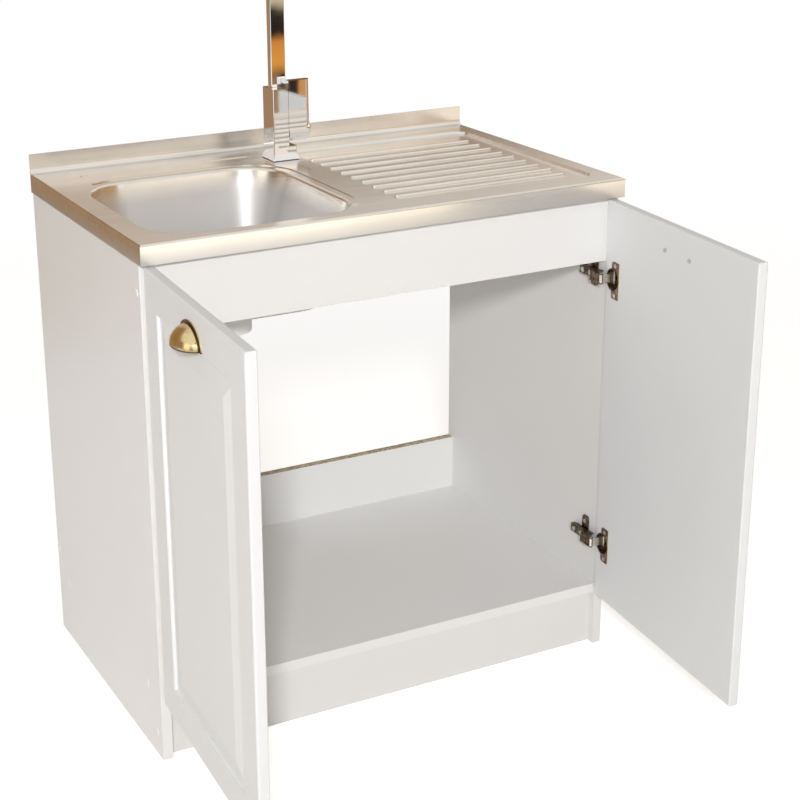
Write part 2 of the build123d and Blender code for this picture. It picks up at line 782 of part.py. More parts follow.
def door_rectangle(margin, y):
    """A rectangle parallel to the door, set in from its edges by a margin."""
    frame = Plane(origin=(door_middle, y, door_bottom + door_height / 2), x_dir=(1, 0, 0), z_dir=(0, -1, 0))
    return frame * Rectangle(door_width - 2 * margin, door_height - 2 * margin)


def handle_screw_places():
    """The two handle screws' places across the door."""
    return [door_middle + s * handle_screw_pitch / 2 for s in (-1, 1)]


def door():
    """A milled door leaf with its moulding, cup bores and screw holes."""
    leaf = block((door_edge - door_width, door_edge), (door_front, door_back), (door_bottom, door_top))
    leaf = fillet(leaf.faces().sort_by(Axis.Y)[0].edges(), door_front_radius)
    leaf = fillet(leaf.faces().sort_by(Axis.Y)[-1].edges(), door_back_radius)
    floor = door_front + moulding_depth
    groove = extrude(door_rectangle(moulding_outer, floor), amount=moulding_depth + 1)
    field_top = door_front + field_drop
    field = loft([door_rectangle(moulding_floor, floor), door_rectangle(moulding_inner, field_top)])
    leaf -= groove - field
    for z in hinge_heights.values():
        leaf -= rod((cup_x, door_back, z), (0, -1, 0), cup_radius + 0.1, cup_depth + 0.1)
        for s in (-1, 1):
            start = (cup_screw_x, door_back, z + s * cup_screw_pitch / 2)
            leaf -= rod(start, (0, -1, 0), cup_screw_radius + running, cup_screw_length)
    for x in handle_screw_places():
        leaf -= rod((x, door_back + 1, handle_screw_z), (0, -1, 0), handle_screw_radius + loose, board + 2)
    return leaf


def quarter_dome(half_length, radius):
    """The front upper quarter of a long ball, on the handle's lower edge against the door."""
    blunt = 2.0
    curve = EllipticalCenterArc((0, 0), half_length, radius, blunt, arc_size=180 - 2 * blunt)
    right_end = Line((half_length * cos(radians(blunt)), 0), curve @ 0)
    left_end = Line(curve @ 1, (-half_length * cos(radians(blunt)), 0))
    axis_line = Line(left_end @ 1, right_end @ 0)
    profile = make_face([right_end, curve, left_end, axis_line])
    return Pos(door_middle, door_front, handle_bottom) * revolve(Plane.XZ * profile, Axis.X, 90)


def shell_handle():
    """The brass shell pull: quarter dome, thin flange and two screw posts."""
    outer = quarter_dome(handle_half_length, handle_radius)
    inner = quarter_dome(handle_half_length - handle_wall, handle_radius - handle_wall)
    frame = Plane(origin=(door_middle, door_front, handle_bottom), x_dir=(1, 0, 0), z_dir=(0, -1, 0))
    reach = handle_half_length + handle_flange
    upper_half = Pos(0, reach, 0) * Rectangle(2 * reach, 2 * reach)
    outline = Ellipse(reach, handle_radius + handle_flange) & upper_half
    body = outer + extrude(frame * outline, amount=handle_flange_thickness) - inner
    for x in handle_screw_places():
        body += rod((x, door_front, handle_screw_z), (0, -1, 0), 4.2, 8.0) & outer
        body -= rod((x, door_front, handle_screw_z), (0, -1, 0), handle_screw_radius + running, 6.0)
    return body


def handle_screws():
    """The two screws through the door into the handle."""
    screws = []
    for x in handle_screw_places():
        start = (x, door_back, handle_screw_z)
        head = rod(start, (0, 1, 0), handle_screw_head, 1.6)
        screws.append(head + rod(start, (0, -1, 0), handle_screw_radius, board + 5.0))
    return screws


# ---- Hinges, built closed on the right ---------------------------------------------------------
def hinge_cup(z):
    """The pressed cup in the door with its screwed flange."""
    bore = cup_radius - cup_wall
    cup = rod((cup_x, door_back, z), (0, -1, 0), cup_radius, cup_depth)
    back = door_back + cup_flange_thickness
    rim = rod((cup_x, door_back, z), (0, 1, 0), cup_radius + 1.2, cup_flange_thickness)
    flange = block((cup_screw_x - 10.5, cup_screw_x + 10.5), (door_back, back), (z - 30, z + 30))
    flange = fillet(flange.edges().filter_by(Axis.Y), 4.0)
    hollow_depth = cup_depth - cup_wall + cup_flange_thickness
    body = cup + rim + flange - rod((cup_x, back, z), (0, -1, 0), bore, hollow_depth)
    for s in (-1, 1):
        start = (cup_screw_x, back, z + s * cup_screw_pitch / 2)
        body -= rod(start, (0, -1, 0), cup_screw_radius + running, 2 * cup_flange_thickness)
    return body - cup_pin(z)


def cup_pin(z):
    """The pin across the cup that the link's knuckle hangs on."""
    return upright_rod(cup_pin_place, z, cup_pin_radius, 2 * cup_pin_half_length)


def cup_screws():
    """Four wood screws that hold the two cups of a door."""
    screws = []
    back = door_back + cup_flange_thickness
    for z in hinge_heights.values():
        for s in (-1, 1):
            start = (cup_screw_x, back, z + s * cup_screw_pitch / 2)
            shank = rod(start, (0, -1, 0), cup_screw_radius, cup_screw_length + cup_flange_thickness - 0.5)
            screws.append(rod(start, (0, 1, 0), 3.4, 0.8) + shank)
    return screws


def flat_strip(start, end, z, thickness, height):
    """A strip on edge between two points seen from above."""
    run = Vector(end[0] - start[0], end[1] - start[1], 0)
    middle = ((start[0] + end[0]) / 2, (start[1] + end[1]) / 2, z)
    frame = Plane(origin=middle, x_dir=(run.X, run.Y, 0), z_dir=(0, 0, 1))
    return frame * Box(run.length, thickness, height)


def upright_rod(centre, z, radius, height):
    """A round bar standing on end, centred at a height."""
    return rod((centre[0], centre[1], z - height / 2), (0, 0, 1), radius, height)


def hinge_link(z, side):
    """The bent link between arm and cup, turned to where it rests with this side's door."""
    body = flat_strip(link_pivot, link_bend, z, link_thickness, link_height)
    body += flat_strip(link_bend, link_end, z, link_thickness, link_height)
    body += upright_rod(link_bend, z, link_thickness / 2, link_height)
    body += upright_rod(link_end, z, link_knuckle_radius, link_height)
    body += upright_rod(link_pivot, z, link_eye_radius, link_height)
    body -= upright_rod(link_pivot, z, hinge_pin_radius + running, link_height + 1)
    body -= upright_rod(link_end, z, cup_pin_radius + loose, link_height + 1)
    return body.rotate(Axis((link_pivot[0], link_pivot[1], 0), (0, 0, 1)), link_ratio * door_open[side])


def hinge_arm(z):
    """The arm on the side panel: a deep channel at its nose and a low one over the plate."""
    eye = arm_eye_radius
    nose_root = arm_start + arm_nose_taper
    nose = Polygon((arm_nose_face, nose_root), (link_pivot[0] - eye, link_pivot[1]),
                   (link_pivot[0] + eye, link_pivot[1]), (plate_top, nose_root), align=None)
    low = z - arm_half_height
    body = extrude(Pos(0, 0, low) * nose, amount=2 * arm_half_height)
    body += block((arm_nose_face, arm_foot), (nose_root, arm_step), (low, low + 2 * arm_half_height))
    body += upright_rod(link_pivot, z, eye, 2 * arm_half_height)
    inside = arm_half_height - arm_wall
    body -= block((arm_nose_face - 5, arm_foot + 5), (arm_start - 15, arm_step + 5), (z - inside, z + inside))
    body += block((arm_nose_face, arm_nose_face + arm_wall), (arm_start, arm_step), (z - inside, z + inside))
    body += block((arm_nose_face, arm_foot), (arm_step - arm_wall, arm_step), (z - inside, z + inside))
    rear_height = (z - arm_rear_half_height, z + arm_rear_half_height)
    rear_inside = arm_rear_half_height - arm_wall
    body += block((arm_rear_face, arm_foot), (arm_step - arm_wall, arm_end), rear_height)
    body -= block((plate_top, arm_foot + 1), (arm_step, arm_end + 1), (z - rear_inside, z + rear_inside))
    body -= upright_rod(link_pivot, z, hinge_pin_radius + running, 3 * arm_half_height)
    for y in arm_screw_places:
        body -= rod((arm_rear_face - 1, y, z), (1, 0, 0), arm_screw_radius + running, plate_height)
    return body


def hinge_plate(z):
    """The cross-shaped mounting plate on the side panel."""
    wing_middle = z + plate_wing_lift
    wing_y = (plate_screw_y - plate_wing_width / 2, plate_screw_y + plate_wing_width / 2)
    body = block((plate_top, inner_face), plate_y, (z - plate_half_height, z + plate_half_height))
    wing = block((inner_face - plate_thickness, inner_face), wing_y,
                 (wing_middle - plate_wing_half_height, wing_middle + plate_wing_half_height))
    body += fillet(wing.edges().filter_by(Axis.X), 5.0)
    for s in (-1, 1):
        start = (inner_face + 1, plate_screw_y, wing_middle + s * plate_screw_pitch / 2)
        body -= rod(start, (-1, 0, 0), plate_screw_radius + running, plate_thickness + 2)
    for y in arm_screw_places:
        body -= rod((plate_top - 1, y, z), (1, 0, 0), arm_screw_radius + running, plate_height - 1)
    return body


def hinge_pins():
    """The four pins in the noses of the arms."""
    pins = []
    for side in sides:
        for z in hinge_heights.values():
            pin = upright_rod(link_pivot, z, hinge_pin_radius, 2 * arm_half_height + 1)
            pins.append(mirrored(pin, side))
    return pins


def arm_screws():
    """Two screws through each arm into its plate."""
    screws = []
    for side in sides:
        for z in hinge_heights.values():
            for y in arm_screw_places:
                head = rod((arm_rear_face, y, z), (-1, 0, 0), 4.2, 1.8)
                shank = rod((arm_rear_face, y, z), (1, 0, 0), arm_screw_radius, plate_height + 1)
                screws.append(mirrored(head + shank, side))
    return screws


def plate_screws():
    """Two wood screws through each mounting plate."""
    screws = []
    face = inner_face - plate_thickness
    for side in sides:
        for z in plate_screw_centres():
            head = rod((face, plate_screw_y, z), (-1, 0, 0), 3.6, 1.6)
            shank = rod((face, plate_screw_y, z), (1, 0, 0), plate_screw_radius, plate_screw_length - 1.0)
            screws.append(mirrored(head + shank, side))
    return screws


# ---- Write every piece -------------------------------------------------------------------------
os.makedirs("parts", exist_ok=True)

for side in sides:
    panel = side_panel(side)
    for y in bracket_y:
        panel -= mirrored(bracket_screw(y, running), side)
    save(f"side_panel_{side}", panel)
save("bottom_shelf", cross_board((carcass_front, carcass_rear), (shelf_bottom, shelf_top)))
save("front_rail", cross_board(rail_y, (rail_bottom, rail_bottom + rail_height)))
save("rear_board", cross_board(rear_board_y, (shelf_top, shelf_top + rear_board_height)))
save("plinth", cross_board(plinth_y, (0, shelf_bottom)))
save("carcass_screws", *carcass_screws())
save("screw_caps", *screw_caps())

save("sink_top", sink_top())
save("sink_brackets", *sink_brackets())
save("bracket_screws", *[mirrored(bracket_screw(y), side) for side in sides for y in bracket_y])
save("strainer_body", strainer_body())
save("strainer_basket", strainer_basket())
save("drain_gasket", ring_at(housing_top, strainer_flange_radius, strainer_radius + 1.5, gasket_height))
save("drain_housing", drain_housing())
save("drain_screw", drain_screw())

save("tap_base", tap_base_plate())
save("tap_gasket", tap_gasket())
save("tap_body", tap_body())
save("cartridge", cartridge())
save("cartridge_nut", cartridge_nut())
save("lever_sleeve", lever_sleeve())
save("lever_pin", lever_pin())
save("lever_stem", lever_stem())
save("lever_screw", lever_screw())
save("tap_lever", tap_lever())
save("spout", spout())
save("aerator", aerator())
save("horseshoe_washer", horseshoe_washer())
save("tap_stud", tap_stud())
save("tap_nut", tap_nut())

for side in sides:
    save(f"door_{side}", opened(door(), side))
    save(f"handle_{side}", opened(shell_handle(), side))
    save(f"handle_screws_{side}", *[opened(screw, side) for screw in handle_screws()])
    save(f"cup_screws_{side}", *[opened(screw, side) for screw in cup_screws()])
    save(f"cup_pins_{side}", *[opened(cup_pin(z), side) for z in hinge_heights.values()])
    for level, z in hinge_heights.items():
        save(f"hinge_cup_{side}_{level}", opened(hinge_cup(z), side))
        save(f"hinge_link_{side}_{level}", mirrored(hinge_link(z, side), side))
        save(f"hinge_arm_{side}_{level}", mirrored(hinge_arm(z), side))
        save(f"hinge_plate_{side}_{level}", mirrored(hinge_plate(z), side))
save("hinge_pins", *hinge_pins())
save("arm_screws", *arm_screws())
save("plate_screws", *plate_screws())
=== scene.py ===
# %% [markdown]
# # Dressing a kitchen sink unit
# The cabinet, steel top, tap, doors and hinges arrive as a imported frame of solids that is true to
# size. This lesson gives each of them the finish it has on the real thing, and sets up a plain
# studio with a camera. The frame is loaded first.

# %% Load the frame
import math

import bpy
from mathutils import Euler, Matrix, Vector

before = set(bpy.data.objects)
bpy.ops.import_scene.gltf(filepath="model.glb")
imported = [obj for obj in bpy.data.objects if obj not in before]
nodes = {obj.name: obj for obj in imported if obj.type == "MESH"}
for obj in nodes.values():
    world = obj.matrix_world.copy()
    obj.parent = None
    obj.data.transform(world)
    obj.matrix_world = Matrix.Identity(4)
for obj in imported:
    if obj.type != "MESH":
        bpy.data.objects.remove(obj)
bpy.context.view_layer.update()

# %% [markdown]
# ## Arithmetic on shader sockets
# A finish is a small graph of nodes. Spelled out link by link it is slow to read, so one class
# wraps a socket and lets us write sums with it: `1 - mask` adds a Math node. Every other kind of
# node comes from one method, `node`, which takes the type, the settings and the inputs.


# %% A socket that can be used in sums
class Wire:
    """One output socket of a node tree, or the tree alone, when its first nodes are made."""

    def __init__(self, tree, socket=None):
        self.tree = tree
        self.socket = socket

    def plug(self, target, value):
        """Sets a socket to a number or colour, or links it to another wire."""
        if isinstance(value, Wire):
            self.tree.links.new(value.socket, target)
        else:
            target.default_value = value

    def node(self, kind, settings=None, inputs=None, output=0):
        """Adds any node: its type, its settings first, then the values or links of its sockets."""
        made = self.tree.nodes.new("ShaderNode" + kind)
        for key, value in (settings or {}).items():
            if key == "stops":
                set_stops(made.color_ramp, value)
            else:
                setattr(made, key, value)
        for key, value in (inputs or {}).items():
            self.plug(made.inputs[key], value)
        return Wire(self.tree, made.outputs[output])

    def sum_node(self, operation, first, second):
        return self.node("Math", {"operation": operation}, {0: first, 1: second})

    def __add__(self, other):
        return self.sum_node("ADD", self, other)

    def __sub__(self, other):
        return self.sum_node("SUBTRACT", self, other)

    def __rsub__(self, other):
        return self.sum_node("SUBTRACT", other, self)

    def __mul__(self, other):
        return self.sum_node("MULTIPLY", self, other)

    def __truediv__(self, other):
        return self.sum_node("DIVIDE", self, other)

    def __gt__(self, other):
        return self.sum_node("GREATER_THAN", self, other)

    __radd__ = __add__
    __rmul__ = __mul__


# %% [markdown]
# ## Colours
# A Math node would turn a colour grey, so colours get two helpers of their own. `ramp` reads a
# colour, or a plain number, off a scale of stops, and `mix` blends two colours.


# %% Ramps and mixes
def set_stops(scale, stops):
    """Gives a colour ramp its stops, as (place, colour) pairs."""
    while len(scale.elements) < len(stops):
        scale.elements.new(1.0)
    for element, (place, colour) in zip(scale.elements, stops):
        element.position = place
        element.color = (*colour, 1.0)


def ramp(value, *stops):
    """A colour ramp, or a grey one where each stop is a plain number."""
    pairs = [(place, c if isinstance(c, tuple) else (c, c, c)) for place, c in stops]
    return value.node("ValToRGB", {"stops": pairs}, {"Fac": value})


def mix(factor, low, high):
    """Blends two colours, given as wires or as (red, green, blue)."""
    low, high = [c if isinstance(c, Wire) else (*c, 1.0) for c in (low, high)]
    # The node also blends numbers and vectors. Its colours go in at sockets 6 and 7, and out at 2.
    return factor.node("Mix", {"data_type": "RGBA"}, {"Factor": factor, 6: low, 7: high}, output=2)


# %% [markdown]
# ## Patterns
# All patterns are laid out in the piece's own coordinates, in metres. They then stay put when a
# door swings, and a noise of scale 500 always means grains of about two millimetres.


# %% Places, noise and bumps
def place_of(wire, stretch=(1.0, 1.0, 1.0)):
    """The point on the piece, in metres, stretched along its axes."""
    point = wire.node("TexCoord", output="Object")
    return wire.node("VectorMath", {"operation": "MULTIPLY"}, {0: point, 1: stretch})


def along(wire, axis):
    """How far the point lies along one of the piece's own axes, in metres."""
    return wire.node("SeparateXYZ", inputs={"Vector": place_of(wire)}, output=axis)


def facing(wire, axis):
    """How far the surface faces along one of the piece's own axes, from -1 to 1."""
    normal = wire.node("TexCoord", output="Normal")
    return wire.node("SeparateXYZ", inputs={"Vector": normal}, output=axis)


def noise(wire, scale, detail=3.0, stretch=(1.0, 1.0, 1.0), roughness=0.5):
    """Soft cloudy noise from 0 to 1."""
    point = place_of(wire, stretch)
    values = {"Vector": point, "Scale": scale, "Detail": detail, "Roughness": roughness}
    return wire.node("TexNoise", inputs=values)


def bump(height, strength, distance):
    """Turns a height pattern into a normal; distance is in metres."""
    return height.node("Bump", inputs={"Strength": strength, "Distance": distance, "Height": height})


# %% [markdown]
# ## Starting a finish, and putting it on
# Every finish is one main shader with a few of its sockets filled. Putting it on swaps the
# material in each slot of a piece and leaves its shape alone.


# %% Start a finish and coat pieces with it
def new_finish(name):
    """A fresh material with its main shader."""
    material = bpy.data.materials.new(name)
    material.use_nodes = True
    shader = material.node_tree.nodes["Principled BSDF"]
    return material, shader, Wire(material.node_tree)


def set_shader(wire, shader, **values):
    """Fills the main shader's sockets; an underscore in a name stands for a space."""
    for key, value in values.items():
        if isinstance(value, tuple) and len(value) == 3:
            value = (*value, 1.0)
        wire.plug(shader.inputs[key.replace("_", " ")], value)


def coat_nodes(finish, *names):
    """Gives a finish to frame pieces."""
    for name in names:
        slots = nodes[name].material_slots
        for i in range(len(slots)):
            slots[i].link = "DATA"
            nodes[name].data.materials[i] = finish
    print(finish.name, "on", len(names), "pieces")


# %% [markdown]
# ## White laminate boards
# The carcass is chipboard with a white melamine skin. The skin has a very fine pearl texture, so
# it needs a bump of a few hundredths of a millimetre and a roughness that drifts a little. The
# back edges, and the rear board's top edge, aren't banded: there the bare chips show, in tans and
# browns. Two materials would need a cut mesh, so one finish picks the raw edge by where it faces.
# The plinth gets slightly darker whites, and a thin line of painted shade marks its joint with the
# shelf above.

# %% Whites and the joint
board_whites = ((0.80, 0.797, 0.79), (0.835, 0.833, 0.828))
plinth_whites = ((0.74, 0.735, 0.725), (0.78, 0.776, 0.768))
# The colour of the painted shade in the joint under the shelf.
joint_shade = (0.40, 0.38, 0.35)
joint_width = 0.0018
plinth_top = max(v.co.z for v in nodes["plinth"].data.vertices)
print("the plinth's joint is at", round(plinth_top, 4), "m")


# %% Laminate with a raw edge
def chipboard(wire):
    """Colour of a sawn chipboard edge: flat flakes in tans and browns."""
    flat = place_of(wire, (0.5, 1.0, 1.6))
    values = {"Vector": flat, "Scale": 420.0, "Randomness": 1.0}
    flakes = wire.node("TexVoronoi", {"feature": "F1"}, values, output="Color")
    shade = wire.node("SeparateColor", inputs={"Color": flakes}, output=0)
    return ramp(shade, (0.0, (0.30, 0.22, 0.14)), (0.45, (0.50, 0.40, 0.28)), (1.0, (0.68, 0.58, 0.43)))


def laminate(name, raw_axis=None, whites=board_whites, joint_at=None):
    """White pearl laminate, with raw faces along raw_axis and a line of painted shade at the height
    joint_at.
    """
    material, shader, wire = new_finish(name)
    colour = mix(noise(wire, 3.0, 2.0), *whites)
    pearl = noise(wire, 1100.0, 2.0)
    rough = 0.36 + 0.12 * noise(wire, 14.0, 4.0)
    if joint_at:
        # A thin band at the top of the plinth gets painted shade, for the joint under the shelf.
        colour = mix(along(wire, "Z") > joint_at - joint_width, colour, joint_shade)
    if raw_axis:
        raw = facing(wire, raw_axis) > 0.8
        colour = mix(raw, colour, chipboard(wire))
        rough = rough + raw * 0.4
        pearl = pearl + raw * 4.0 * noise(wire, 500.0, 3.0)
    set_shader(wire, shader, Base_Color=colour, Roughness=rough, Normal=bump(pearl, 0.25, 0.00006),
               Specular_IOR_Level=0.5)
    return material


back_raw = laminate("white laminate, raw back edge", "Y")
coat_nodes(back_raw, "side_panel_left", "side_panel_right", "bottom_shelf")
coat_nodes(laminate("white laminate, raw top edge", "Z"), "rear_board")
coat_nodes(laminate("white laminate"), "front_rail")
coat_nodes(laminate("white laminate, plinth", whites=plinth_whites, joint_at=plinth_top), "plinth")

# %% [markdown]
# ## Foiled doors
# The doors are milled fibreboard under a white matt foil that is pressed on hot. Foil drapes, so
# its surface has a soft orange-peel ripple, a bit longer than the laminate's pearl, and it is a
# touch cooler, whiter and duller. The moulding is real shape in the frame, so no painted lines
# are needed.


# %% Foil
def door_foil():
    """White matt foil with a soft ripple."""
    material, shader, wire = new_finish("white door foil")
    drift = noise(wire, 2.5, 3.0)
    white = mix(drift, (0.795, 0.81, 0.825), (0.835, 0.848, 0.86))
    peel = noise(wire, 260.0, 2.0) + 0.4 * noise(wire, 900.0, 1.0)
    rough = 0.44 + 0.14 * noise(wire, 9.0, 4.0)
    set_shader(wire, shader, Base_Color=white, Roughness=rough, Normal=bump(peel, 0.22, 0.0001),
               Specular_IOR_Level=0.35)
    return material


coat_nodes(door_foil(), "door_left", "door_right")

# %% [markdown]
# ## Satin steel top
# The top is one pressed sheet of stainless steel with a fine linen-like grind. Up close that is
# thousands of short scratches. We make them from noise stretched sixty times along the deck,
# which gives streaks in roughness and a faint bump, with a weaker set across. Broad clouds and
# bands, slightly darker, stand for where hands and cloths have dulled it. The bowl is drawn deep,
# so from just under the drainer's level it turns duller, and its colour turns darker and greyer,
# which is painted shade; 30 mm down it is fully so. The folded front reaches below that level
# too, and shares in it.

# %% Colours of steel
deck_colour = (0.85, 0.83, 0.80)
# The bowl's colour is darker and greyer than the deck's: painted shade for the deep bowl.
bowl_shaded_colour = (0.61, 0.612, 0.62)
drain_colour = (0.78, 0.765, 0.74)
bowl_starts = 0.806
print("steel turns duller below", bowl_starts, "m")


# %% Steel
def satin_steel(name, colour, rough, streak=0.12, scratch=0.12, dull_and_shaded_below=None):
    """Ground steel; below the given height it is duller, and darker and greyer with painted shade."""
    material, shader, wire = new_finish(name)
    streaks = noise(wire, 40.0, 6.0, stretch=(1.0, 60.0, 60.0), roughness=0.7)
    across = noise(wire, 30.0, 6.0, stretch=(50.0, 1.0, 20.0), roughness=0.7)
    bands = noise(wire, 9.0, 3.0, stretch=(0.3, 6.0, 6.0))
    clouds = noise(wire, 7.0, 4.0)
    grain = streaks * 0.7 + across * 0.3
    worn = ramp(clouds * 0.6 + bands * 0.4, (0.38, 0.0), (0.62, 1.0))
    tint = mix(worn, colour, tuple(c * 0.89 for c in colour))
    gloss = rough - streak / 2 + streak * grain + 0.06 * clouds
    if dull_and_shaded_below:
        depth = dull_and_shaded_below - along(wire, "Z")
        # Below that height the tint turns to the bowl's colour, which is painted shade, and the roughness
        # rises.
        dull_and_shade = ramp(depth * 20.0, (0.05, 0.0), (0.6, 1.0))
        tint = mix(dull_and_shade, tint, bowl_shaded_colour)
        gloss = gloss + 0.24 * dull_and_shade
    set_shader(wire, shader, Base_Color=tint, Metallic=1.0, Roughness=gloss,
               Normal=bump(grain, scratch, 0.00005))
    return material


coat_nodes(satin_steel("satin steel sheet", deck_colour, 0.20, dull_and_shaded_below=bowl_starts), "sink_top")
coat_nodes(satin_steel("polished drain steel", drain_colour, 0.16, streak=0.06, scratch=0.05),
           "strainer_body", "strainer_basket", "drain_screw")

# %% [markdown]
# ## Chrome
# The tap is chrome on brass: nearly a mirror, with a trace of haze where it has been wiped. All
# of its look comes from what it reflects, so the finish stays simple and the studio gets dark and
# warm cards for it to mirror.


# %% Chrome
def bright_chrome():
    """Near mirror chrome with a trace of haze."""
    material, shader, wire = new_finish("bright chrome")
    haze = noise(wire, 25.0, 5.0)
    smears = noise(wire, 8.0, 3.0, stretch=(1.0, 1.0, 3.0))
    gloss = 0.03 + 0.05 * ramp(haze * smears, (0.22, 0.0), (0.5, 1.0))
    set_shader(wire, shader, Base_Color=(0.86, 0.86, 0.865), Metallic=1.0, Roughness=gloss)
    return material


coat_nodes(bright_chrome(), "tap_base", "tap_body", "tap_lever", "spout", "aerator")

# %% [markdown]
# ## Antique brass handles
# The shell pulls are cast, brassed and darkened with a stain, then buffed, so that the crown is
# bright and the stain stays where a cloth can't reach: in the corner between dome and flange, and
# along the lower lip. Both places follow from how far a point stands off the door and how far it
# is above the lip, so each handle gets a finish that knows which way its door faces.

# %% Colours of brass, and where the doors face
dull_brass = (0.52, 0.38, 0.17)
buffed_brass = (0.80, 0.66, 0.38)
brass_stain = (0.10, 0.065, 0.03)
left_door_faces = (-0.9983, 0.0576, 0.0)
right_door_faces = (0.9957, -0.0924, 0.0)


# %% Brass
def antique_brass(name, handle, outward):
    """Buffed brass; outward is the way that this door's face looks."""
    points = [v.co for v in nodes[handle].data.vertices]
    face = min(p.dot(Vector(outward)) for p in points)
    lip = min(p.z for p in points)
    material, shader, wire = new_finish(name)
    pair = {0: place_of(wire), 1: outward}
    stand_off = wire.node("VectorMath", {"operation": "DOT_PRODUCT"}, pair, output="Value") - face
    above_lip = along(wire, "Z") - lip
    corner = ramp(stand_off * 100.0, (0.14, 0.0), (0.21, 1.0), (0.34, 1.0), (0.48, 0.0))
    edge = ramp(above_lip * 100.0, (0.0, 1.0), (0.12, 1.0), (0.26, 0.0))
    cloud = noise(wire, 70.0, 4.0, roughness=0.6)
    brushed = noise(wire, 300.0, 3.0, stretch=(6.0, 1.0, 0.4))
    clean = ramp(cloud * 0.7 + brushed * 0.3, (0.30, 0.0), (0.52, 1.0))
    stain = ramp(corner + edge, (0.2, 0.0), (0.9, 1.0))
    tone = mix(stain, mix(clean, dull_brass, buffed_brass), brass_stain)
    gloss = 0.30 - 0.06 * clean + 0.2 * stain
    set_shader(wire, shader, Base_Color=tone, Metallic=1.0, Roughness=gloss,
               Normal=bump(brushed, 0.1, 0.00004))
    return material


coat_nodes(antique_brass("antique brass left", "handle_left", left_door_faces), "handle_left")
coat_nodes(antique_brass("antique brass right", "handle_right", right_door_faces), "handle_right")

# %% [markdown]
# ## Hinge metal and screws
# Concealed hinges are stamped steel with a dark bronze plating. Where the stamping sheared the
# cups' flat, its edge shows yellow metal, and every cup face that looks along -Y gets that yellow,
# partly bare metal and partly a painted highlight. The bare link and pins are brighter, and the
# screws and the hidden works are zinc plated.


# %% Plated metals
def plated(name, dark, light, rough, sheared_edge_highlight=None):
    """Plating in two tones; the last argument is the yellow of bare cut edges and of a painted highlight,
    on faces that look towards the door's free side.
    """
    material, shader, wire = new_finish(name)
    patches = noise(wire, 160.0, 4.0)
    tone = mix(ramp(patches, (0.38, 0.0), (0.62, 1.0)), dark, light)
    if sheared_edge_highlight:
        # Faces that look along -Y get the yellow: bare cut metal, and partly a painted highlight.
        tone = mix(facing(wire, "Y") * -1.0 > 0.85, tone, sheared_edge_highlight)
    fine = noise(wire, 1500.0, 2.0)
    set_shader(wire, shader, Base_Color=tone, Metallic=1.0, Roughness=rough + 0.1 * patches,
               Normal=bump(fine, 0.1, 0.00004))
    return material


arm_bronze = plated("bronze plating of the arms", (0.055, 0.04, 0.03), (0.25, 0.19, 0.13), 0.30)
cup_bronze = plated("bronze plating of the cups", (0.09, 0.06, 0.045), (0.30, 0.22, 0.16), 0.32,
                    sheared_edge_highlight=(0.82, 0.70, 0.42))
link_steel = plated("bright link steel", (0.74, 0.69, 0.60), (0.90, 0.86, 0.78), 0.36)
zinc = plated("zinc plated screws", (0.50, 0.49, 0.46), (0.66, 0.64, 0.60), 0.30)


# %% Coat the hinges and screws
def pieces_named(*starts):
    """Frame pieces whose names start so."""
    return [name for name in nodes if name.startswith(starts)]


coat_nodes(arm_bronze, *pieces_named("hinge_arm", "hinge_plate"))
coat_nodes(cup_bronze, *pieces_named("hinge_cup"))
coat_nodes(link_steel, *pieces_named("hinge_link", "cup_pins", "hinge_pins"))
coat_nodes(zinc, "carcass_screws", "arm_screws", "plate_screws", "cup_screws_left", "cup_screws_right",
           "handle_screws_left", "handle_screws_right", "sink_brackets", "bracket_screws")
coat_nodes(zinc, "cartridge_nut", "lever_sleeve", "lever_pin", "lever_stem", "lever_screw",
           "horseshoe_washer", "tap_stud", "tap_nut")

# %% [markdown]
# ## Moulded parts
# The caps and the waste are white plastic, the gaskets black rubber, and the cartridge a yellowish
# plastic. Moulded surfaces keep a little of the tool's grain, so they get a very fine bump.


# %% Plastic and rubber
def moulded(name, dark, light, rough):
    """Plastic or rubber in two close tones."""
    material, shader, wire = new_finish(name)
    patches = noise(wire, 60.0, 3.0)
    fine = noise(wire, 1400.0, 2.0)
    set_shader(wire, shader, Base_Color=mix(patches, dark, light), Roughness=rough + 0.1 * patches,
               Normal=bump(fine, 0.15, 0.00005))
    return material


white_plastic = moulded("white cap plastic", (0.80, 0.80, 0.79), (0.85, 0.85, 0.84), 0.38)
black_rubber = moulded("black rubber", (0.02, 0.02, 0.02), (0.035, 0.034, 0.033), 0.6)
coat_nodes(white_plastic, "screw_caps", "drain_housing")
coat_nodes(black_rubber, "drain_gasket", "tap_gasket")
coat_nodes(moulded("cartridge plastic", (0.62, 0.60, 0.54), (0.70, 0.68, 0.62), 0.3), "cartridge")

# %% [markdown]
# ## A plain studio
# The floor is a wide pale sheet. It takes light and shadow as any sheet does, and on top of that
# it glows a little for the camera and for mirrors, just enough to carry its lit parts to white.
# The shadow stays, because it starts lower. Far away the lamps no longer reach, so there the glow
# takes over completely and no horizon shows.


# %% Sheets that stand in the studio
def any_view(wire):
    """1 for what the camera sees, directly, in a mirror or through glass."""
    seen_as = ("Is Camera Ray", "Is Glossy Ray", "Is Transmission Ray")
    direct, mirrored, through = [wire.node("LightPath", output=name) for name in seen_as]
    return (direct + mirrored + through) > 0.5


def sheet(name, corners):
    """One flat four-cornered mesh, for the floor and the cards."""
    mesh = bpy.data.meshes.new(name)
    mesh.from_pydata(corners, [], [(0, 1, 2, 3)])
    made = bpy.data.objects.new(name, mesh)
    bpy.context.scene.collection.objects.link(made)
    return made


def level(left, right, front, back, height):
    """Corners of a sheet that lies level."""
    return [(left, front, height), (right, front, height), (right, back, height), (left, back, height)]


